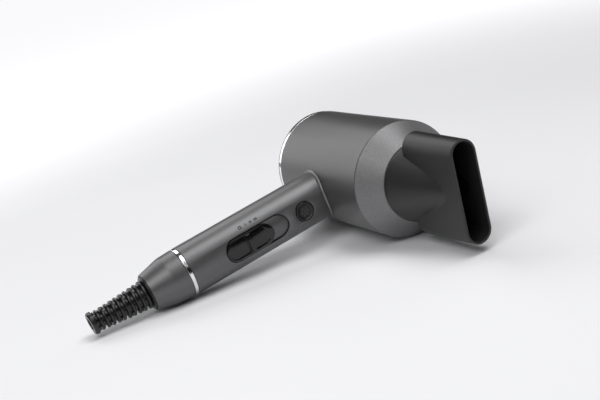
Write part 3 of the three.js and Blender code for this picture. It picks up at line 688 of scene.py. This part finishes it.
for radius, height in ((throat, nozzle["seat"]), (throat, 0), (magnetRing["bore"] - 0.3, 0),
                       (magnetRing["bore"] - 0.3, pocket), (magnetRing["radius"] + 0.3, pocket),
                       (magnetRing["radius"] + 0.3, 0)):
    rings.append(roundRing(radius, spoutBase + height, turns))
nozzlePiece = ringPiece("concentratorNozzle", rings)
setInPlace(nozzlePiece, onBarrel @ Matrix.Rotation(spoutTurn, 4, "Z"))
finished(nozzlePiece, "nozzle", materials["nozzlePlastic"], ["nozzle"], angle=40)
print("nozzle done:", len(nozzlePiece.data.polygons), "faces")


def saddle(radius, surface, sides):
    # A ring round the handle, lying on a cylinder about the barrel's axis
    return [Vector((p.x, p.y, math.sqrt(surface ** 2 - p.x ** 2))) for p in circle(radius, 0, sides)]


neckTrim = {"proud": 0.9, "crest": 0.75, "height": 1.4}
beadLow = shell["radius"] + seam
beadHigh = beadLow + neckTrim["height"]
beadRings = [saddle(radius, surface, handle["sides"]) for surface, radius in softened([
    (beadLow, gripInner, 0.1), (beadLow, grip["radius"] + neckTrim["proud"], 0.2),
    (beadHigh - neckTrim["height"] / 2, grip["radius"] + neckTrim["crest"], 0.45),
    (beadHigh, grip["radius"] + 0.05, 0.2),
    (beadHigh, gripInner, 0.1)])]
finished(setInPlace(ringPiece("neckTrim", beadRings), onHandle),
         "dryer", materials["collar"], ["neck_trim"])

gripTop = beadHigh + seam
gripOuter = grip["radius"] - 0.01
edge = handle["edge"]
gripRings = [saddle(gripInner, gripTop, handle["sides"])]
for share in (0, 0.33, 0.66, 1):
    turn = share * math.pi / 2
    gripRings.append(saddle(gripOuter - edge * (1 - math.sin(turn)),
                            gripTop + edge * (1 - math.cos(turn)), handle["sides"]))
for height, radius in softened([(handle["straightFrom"], gripOuter, 0), (grip["end"], gripOuter, edge),
                                (grip["end"], gripInner, 0.2), (handle["straightFrom"], gripInner, 0)],
                               closed=False):
    gripRings.append(circle(radius, height, handle["sides"]))
handleShell = setInPlace(ringPiece("handleShell", gripRings), onHandle)

recess = {"top": 75.2, "length": 52.3, "halfWidth": 9.06, "depth": 1.1, "groove": 0.85,
          "lipWall": 1.2, "lipPast": 1.5, "inner": 15.1, "beyond": 12}
recessMiddle = recess["top"] + recess["length"] / 2
button = {"depth": 61, "radius": 7, "gap": 0.45}
cutter = {"low": 8, "high": 25, "past": 30}                # heights of the tools over the handle's axis
slotTool = prism("slotTool", stadium(recess["length"] / 2, recess["halfWidth"]), 0, cutter["past"])
shape(handleShell, setInPlace(slotTool, onFront(recessMiddle)))
buttonHole = button["radius"] + button["gap"]
holeTool = turnedPiece("holeTool", [(0, buttonHole, 0), (cutter["past"], buttonHole, 0)], 72, closed=False)
shape(handleShell, setInPlace(holeTool, onFront(button["depth"])))
bevelled(handleShell, 0.22, 2, 50)
finished(handleShell, "dryer", materials["housing"], ["handle_shell"])
print("handle shell done:", len(handleShell.data.polygons), "faces")


band = measured("handle_trim_ring", onHandle)
finished(setInPlace(turnedPiece("handleTrimRing", [
    (band["start"], band["bore"], 0.15), (band["start"], band["radius"] - 0.02, 0.35),
    (band["end"], band["radius"] - 0.02, 0.35), (band["end"], band["bore"], 0.15),
], handle["sides"]), onHandle), "dryer", materials["chromePlate"], ["handle_trim_ring"])

cap = measured("handle_end_cap", onHandle)
endCap = {"straight": 11, "bend": 3, "shoulderIn": 0.6, "bendIn": 1.3, "mouth": 13.8, "lip": 0.9, "wall": 2}
capShoulder = cap["start"] + endCap["straight"]
capWide = grip["radius"] - 0.1
finished(setInPlace(turnedPiece("handleEndCap", [
    (cap["start"], capWide - endCap["wall"], 0.2), (cap["start"], capWide, 0.3),
    (capShoulder, grip["radius"] - endCap["shoulderIn"], 2.2),
    (capShoulder + endCap["bend"], grip["radius"] - endCap["bendIn"], 2.6),
    (cap["end"], endCap["mouth"], 0.5), (cap["end"], endCap["mouth"] - endCap["lip"], 0.2),
    (cap["end"] - 5, endCap["mouth"] - endCap["lip"], 0.2),
    (capShoulder + 1, capWide - endCap["wall"] - 1.2, 0.5), (capShoulder, capWide - endCap["wall"], 0.5),
], handle["sides"]), onHandle), "dryer", materials["housing"], ["handle_end_cap"])

relief = {"ribs": 10, "pitch": 3.9, "width": 1.75, "wide": 10.6, "narrow": 7.6, "depth": 2.6,
          "tip": 8.2, "tipLength": 3.4, "bore": 3.8, "flange": 12.6, "flangeProud": 1.0,
          "first": 1.4, "sides": 96, "webHalf": 8.5, "webRise": 2.1,
          "bend": 1.2, "bendPower": 1.6}
sleeve = measured("strain_relief", onHandle)
sleeve["end"] -= 0.05               # room for the bend inside the CAD box
ribStart = cap["end"] + relief["flangeProud"] + relief["first"]
profile = [(sleeve["start"], relief["bore"], 0.2), (sleeve["start"], relief["flange"], 0.3),
           (cap["end"] + relief["flangeProud"], relief["flange"], 0.5)]
floors = []
for rib in range(relief["ribs"]):
    share = rib / (relief["ribs"] - 1)
    radius = relief["wide"] + (relief["narrow"] - relief["wide"]) * share
    start = ribStart + rib * relief["pitch"]
    profile += [(start - 0.15, radius - relief["depth"], 0.3), (start, radius, 0.8),
                (start + relief["width"], radius - 0.15, 0.8),
                (start + relief["width"] + 0.15, radius - relief["depth"] - 0.1, 0.3)]
    floors.append((start + relief["width"], start + relief["pitch"], radius - relief["depth"]))
tipStart = sleeve["end"] - relief["tipLength"]
floors[-1] = (floors[-1][0], tipStart, floors[-1][2])
profile += [(tipStart, relief["narrow"] - relief["depth"] - 0.1, 0.3), (tipStart, relief["tip"], 0.4),
            (sleeve["end"] - 0.9, relief["tip"], 0.3), (sleeve["end"], relief["tip"] - 0.9, 0.3),
            (sleeve["end"], relief["bore"] + 0.6, 0.3), (sleeve["end"] - 2.5, relief["bore"], 0.3)]
strainRelief = turnedPiece("strainRelief", profile, relief["sides"])
startEditing(strainRelief, "FACE")
for index, (low, high, floor) in enumerate(floors):
    # Webs bridge each groove on four sides, turned a little from groove to groove
    shift = (index % 2) * 45
    for quarter in range(4):
        middle = math.radians(shift - 10 + 90 * quarter)

        def inWeb(face):
            centre = face.calc_center_median()
            away = (math.atan2(centre.y, centre.x) - middle + math.pi) % (2 * math.pi) - math.pi
            radius = math.hypot(centre.x, centre.y)
            return low + 0.2 < centre.z < high - 0.2 and abs(away) < math.radians(relief["webHalf"]) \
                and floor - 0.6 < radius < floor + 0.5
        chooseFaces(strainRelief, inWeb)
        bpy.ops.mesh.extrude_region_shrink_fatten(
            TRANSFORM_OT_shrink_fatten={"value": relief["webRise"]})
stopEditing()
for vertex in strainRelief.data.vertices:
    # The sleeve bends up a little, more and more towards its tip
    beyond = max(vertex.co.z - ribStart, 0) / (sleeve["end"] - ribStart)
    vertex.co.x += relief["bend"] * beyond ** relief["bendPower"]
finished(setInPlace(strainRelief, onHandle), "dryer", materials["rubberSkin"], ["strain_relief"])
print("end cap and strain relief done:", len(strainRelief.data.polygons), "faces")


knobReach = measured("slide_knob", onHandle)
knob = {"halfLength": (knobReach["end"] - knobReach["start"]) / 2, "halfWidth": 8.46, "crown": 19.0,
        "under": 17.6, "rim": 1.15, "floor": 18.0, "rib": 20.5, "ribHalf": 1.35, "ribFoot": 2.1,
        "ribWide": 7.6, "ribCrest": 6.6, "draft": 0.8, "slope": 10, "sides": 288}
stem = {"halfLength": 3, "halfWidth": 1.2, "low": 15.5, "high": 18.2, "travel": 13.7, "play": 0.6}
knobMiddle = (knobReach["end"] + knobReach["start"]) / 2


def rectangle(start, end, halfWidth):
    return [(start, -halfWidth), (end, -halfWidth), (end, halfWidth), (start, halfWidth)]


def handleRod(radius):
    # A cylinder about the handle's axis, past both ends of the recess
    tool = turnedPiece("rod", [(recess["top"] - recess["beyond"], radius, 0),
                               (recess["top"] + recess["length"] + recess["beyond"], radius, 0)],
                       knob["sides"], closed=False)
    return setInPlace(tool, onHandle)


plateGap = recess["groove"]
plate = setInPlace(prism("switchPlate", stadium(
    recess["length"] / 2 - plateGap, recess["halfWidth"] - plateGap, 40),
    cutter["low"], cutter["high"]), onFront(recessMiddle))
shape(plate, handleRod(gripOuter - recess["depth"]), "INTERSECT")
shape(plate, handleRod(recess["inner"]))
bevelled(plate, 0.3, 3, 50)
lipPiece = setInPlace(prism("plateLip", stadium(
    recess["length"] / 2 + recess["lipPast"], recess["halfWidth"] + recess["lipPast"]),
    cutter["low"], cutter["high"]), onFront(recessMiddle))
shape(lipPiece, handleRod(gripInner - seam), "INTERSECT")
shape(lipPiece, handleRod(gripInner - seam - recess["lipWall"]))
shape(plate, lipPiece, "UNION")
stemSlot = setInPlace(prism("stemSlot", rectangle(
    -stem["halfLength"] - stem["travel"], stem["halfLength"] + stem["play"], stem["halfWidth"] + seam),
    cutter["low"], cutter["high"]), onFront(knobMiddle))
shape(plate, stemSlot)
finished(plate, "dryer", materials["housing"], ["switch_plate"])


def padOutline(side, inset, reach=0):
    # One thumb pad: straight towards the rib, round at the outer end, or drawn in to a flat end
    halfLength = knob["halfLength"] - knob["rim"] - inset
    halfWidth = knob["halfWidth"] - knob["rim"] - inset
    points = [(knob["ribFoot"] + inset, -halfWidth)]
    for step in range(33):
        turn = math.pi * (step / 32 - 0.5)
        x = halfLength - halfWidth + halfWidth * math.cos(turn)
        y = halfWidth * math.sin(turn)
        if reach and x > reach:
            x, y = reach + (x - reach) * 0.02, y * 0.96
        points.append((x, y))
    points.append((knob["ribFoot"] + inset, halfWidth))
    return [(side * x, side * y) for x, y in points]


slideKnob = setInPlace(prism("slideKnob", stadium(knob["halfLength"], knob["halfWidth"], 40),
                             cutter["low"], cutter["high"]), onFront(knobMiddle))
shape(slideKnob, handleRod(knob["crown"]), "INTERSECT")
shape(slideKnob, handleRod(knob["under"]))
for side in (-1, 1):
    reach = knob["slope"] if side < 0 else 0
    pad = prism("pad", padOutline(side, knob["draft"] + 0.6, reach), 14.5, 20.5, padOutline(side, -0.5))
    pad = setInPlace(pad, onFront(knobMiddle))
    shape(pad, handleRod(knob["floor"]))
    shape(slideKnob, pad)
ribPiece = prism("rib", rectangle(-knob["ribFoot"], knob["ribFoot"], knob["ribWide"]), 12, 21.5,
                 rectangle(-knob["ribHalf"], knob["ribHalf"], knob["ribCrest"]))
ribPiece = setInPlace(ribPiece, onFront(knobMiddle))
shape(ribPiece, handleRod(knob["rib"]), "INTERSECT")
shape(ribPiece, handleRod(knob["under"] + 0.1))
shape(slideKnob, ribPiece, "UNION")
stemPiece = setInPlace(prism("stem", rectangle(-stem["halfLength"], stem["halfLength"], stem["halfWidth"]),
                             stem["low"], stem["high"]), onFront(knobMiddle))
shape(slideKnob, stemPiece, "UNION")
bevelled(slideKnob, 0.28, 3, 28)
finished(slideKnob, "slider", materials["glossPlastic"], ["slide_knob"], angle=30)
print("slide switch done:", len(slideKnob.data.polygons), "faces")


press = measured("cool_button", onFront(button["depth"]))
faceHeight = press["end"]
coolButton = turnedPiece("coolButton", [
    (press["start"], 1.1, 0), (press["start"], 1.5, 0.1), (faceHeight - 2.2, 1.5, 0.1),
    (faceHeight - 2.2, 5.9, 0.1), (press["start"] + 1.5, 5.9, 0.1), (press["start"] + 1.5, 7, 0.2),
    (faceHeight, 7, 0.45), (faceHeight, 5.75, 0.35), (faceHeight - 0.75, 5.2, 0.3),
    (faceHeight - 0.95, 2.5, 0)], 96, closed=False)
finished(setInPlace(coolButton, onFront(button["depth"])),
         "button", materials["satinPlastic"], ["cool_button"])

flake = {"reach": 3.9, "width": 0.34, "branch": 1.35, "rise": 0.22}
strokes = []
for arm in range(6):
    turn = math.pi * arm / 3
    outward = Vector((math.cos(turn), math.sin(turn)))
    strokes.append((Vector((0, 0)), outward * flake["reach"]))
    for lean in (-1, 1):
        tilt = turn + lean * math.pi / 3.4
        fork = outward * flake["reach"] * 0.52
        strokes.append((fork, fork + Vector((math.cos(tilt), math.sin(tilt))) * flake["branch"]))


def stroke(name, start, end, width, low, high):
    along = (end - start).normalized() * width / 2
    across = Vector((-along.y, along.x))
    corners = [start - across, end - across, end + across, start + across]
    return prism(name, [(corner.x, corner.y) for corner in corners], low, high)


arms = [stroke("stroke", start, end, flake["width"], faceHeight - 1.2, faceHeight - 0.95 + flake["rise"])
        for start, end in strokes]
snowflake = setInPlace(joined("coolMark", arms), onFront(button["depth"]))
finished(snowflake, "button", materials["printedIcon"])

marks = {"depths": (109.3, 104.7, 100.5, 96.1), "round": 43, "half": 0.95, "gap": 0.95, "stroke": 0.6}
bars = []
for count, depth in enumerate(marks["depths"]):
    half, gap = marks["half"], marks["gap"]
    if count == 0:
        corners = [Vector((-half, -half)), Vector((half, -half)), Vector((half, half)), Vector((-half, half))]
        lines = list(zip(corners, corners[1:] + corners[:1]))
    else:
        offsets = [gap * (row - (count - 1) / 2) for row in range(count)]
        lines = [(Vector((offset, -half)), Vector((offset, half))) for offset in offsets]
    place = onHandle @ Matrix.Rotation(math.radians(marks["round"] - 90), 4, "Z") \
        @ Matrix.Translation((0, 0, depth * mm)) @ Matrix.Rotation(math.pi / 2, 4, "Y")
    for start, end in lines:
        bars.append(setInPlace(stroke("bar", start, end, marks["stroke"],
                                      gripOuter - 0.05, gripOuter + 0.06), place))
finished(joined("settingMarks", bars), "dryer", materials["printedMark"])
print("button and marks done")


keptNodes = {
    "ductPlastic": ["fan_duct", "button_housing", "cord_clamp", "cord_saddle"],
    "rubberSkin": ["motor_damper"],
    "steel": ["motor_can", "motor_shaft", "button_spring", "thermostat", "clamp_screw_1", "clamp_screw_2"],
    "magnetSteel": ["motor_magnet_1", "motor_magnet_2"],
    "brass": ["rear_bushing", "front_bushing", "motor_terminal_1", "motor_terminal_2", "ion_emitter"],
    "copper": ["motor_armature", "commutator"],
    "heaterWire": ["heater_coil_1", "heater_coil_2"],
    "mica": ["mica_sleeve", "mica_board_1", "mica_board_2"],
    "circuitBoard": ["control_board"],
    "blackResin": ["motor_end_cap", "slide_switch", "micro_switch", "triac", "lead_3"],
    "yellowFilm": ["line_capacitor"],
    "pottedResin": ["ion_generator"],
    "redInsulation": ["lead_1"],
    "whitePlastic": ["thermal_fuse", "lead_connector", "lead_2"],
    "satinPlastic": ["fan_impeller", "slider_carrier"],
}
for finish, nodes in keptNodes.items():
    for node in nodes:
        kept = frame["nodes"][node]
        kept.data.materials.clear()
        kept.data.materials.append(materials[finish])
print("kept nodes finished:", sum(len(nodes) for nodes in keptNodes.values()))


floor = {"size": 60, "tone": (0.88, 0.95), "glowFrom": 0.45, "glowTo": 1.7, "glow": 0.95}
bpy.ops.object.select_all(action="DESELECT")
bpy.ops.mesh.primitive_plane_add(size=floor["size"], location=(0, 0, -0.0002))
floorPiece = bpy.context.object
floorPiece.name = "studioFloor"
material, sockets, place = newMaterial("paleFloor", {
    "Roughness": 0.75, "Specular IOR Level": 0.2, "Emission Strength": 1})
blend(noise(place, 2.2, 2), grey(floor["tone"][0]), grey(floor["tone"][1])).into(sockets["Base Color"])
away = place.node("ShaderNodeVectorMath", {"operation": "LENGTH"}, {0: place}, "Value")
beyond = away.node("ShaderNodeMapRange", {"interpolation_type": "SMOOTHSTEP"}, {
    "Value": away, "From Min": floor["glowFrom"], "From Max": floor["glowTo"]})  # past the lamps' reach
blend(beyond, grey(0), grey(floor["glow"])).into(sockets["Emission Color"])
floorPiece.data.materials.append(material)

world = bpy.data.worlds.new("studio")
bpy.context.scene.world = world
world.use_nodes = True
backdrop = world.node_tree.nodes["Background"]
seen = world.node_tree.nodes.new("ShaderNodeLightPath").outputs["Is Camera Ray"]
world.node_tree.links.new(seen, backdrop.inputs["Strength"])    # a white backdrop that lights nothing
backdrop.inputs["Color"].default_value = (0.97, 0.97, 0.97, 1)

lamps = {
    "overhead": {"azimuth": 54, "elevation": 73, "power": 10.2},
    "key": {"azimuth": 315, "elevation": 48, "power": 7.2},
    "back": {"azimuth": 180, "elevation": 48, "power": 5.2},
    "backLow": {"azimuth": 200, "elevation": 20, "power": 3.6},
    "left": {"azimuth": 290, "elevation": 20, "power": 1.4},
    "right": {"azimuth": 110, "elevation": 20, "power": 1.2},
    "front": {"azimuth": 0, "elevation": 48, "power": 0.8},
}
softbox = {"distance": 1.4, "size": 0.8}
middle = Vector(((cadBox[0][i] + cadBox[1][i]) / 2 for i in range(3)))
for name, lamp in lamps.items():
    light = bpy.data.lights.new(name, "AREA")
    light.shape = "SQUARE"
    light.size = softbox["size"]
    light.energy = lamp["power"]
    azimuth, elevation = math.radians(lamp["azimuth"]), math.radians(lamp["elevation"])
    away = Vector((math.sin(azimuth) * math.cos(elevation), -math.cos(azimuth) * math.cos(elevation),
                   math.sin(elevation)))
    holder = bpy.data.objects.new(name, light)
    holder.location = middle + away * softbox["distance"]
    holder.rotation_euler = (-away).to_track_quat("-Z", "Y").to_euler()
    bpy.context.scene.collection.objects.link(holder)

view = {"offset": (-0.359138, -0.70286, 0.20281), "towards": (0.38454, 0.88536, -0.26127),
        "up": (0.34338, 0.12553, 0.93077), "lens": 64.9}
camera = bpy.data.cameras.new("camera")
camera.lens = view["lens"]
camera.sensor_width = 36
cameraHolder = bpy.data.objects.new("camera", camera)
towards, up = Vector(view["towards"]).normalized(), Vector(view["up"]).normalized()
rightwards = towards.cross(up).normalized()
cameraHolder.matrix_world = Matrix.Translation(crossing + Vector(view["offset"])) @ Matrix(
    (rightwards, rightwards.cross(towards), -towards)).transposed().to_4x4()
bpy.context.scene.collection.objects.link(cameraHolder)
bpy.context.scene.camera = cameraHolder
bpy.context.scene.view_settings.view_transform = "Standard"
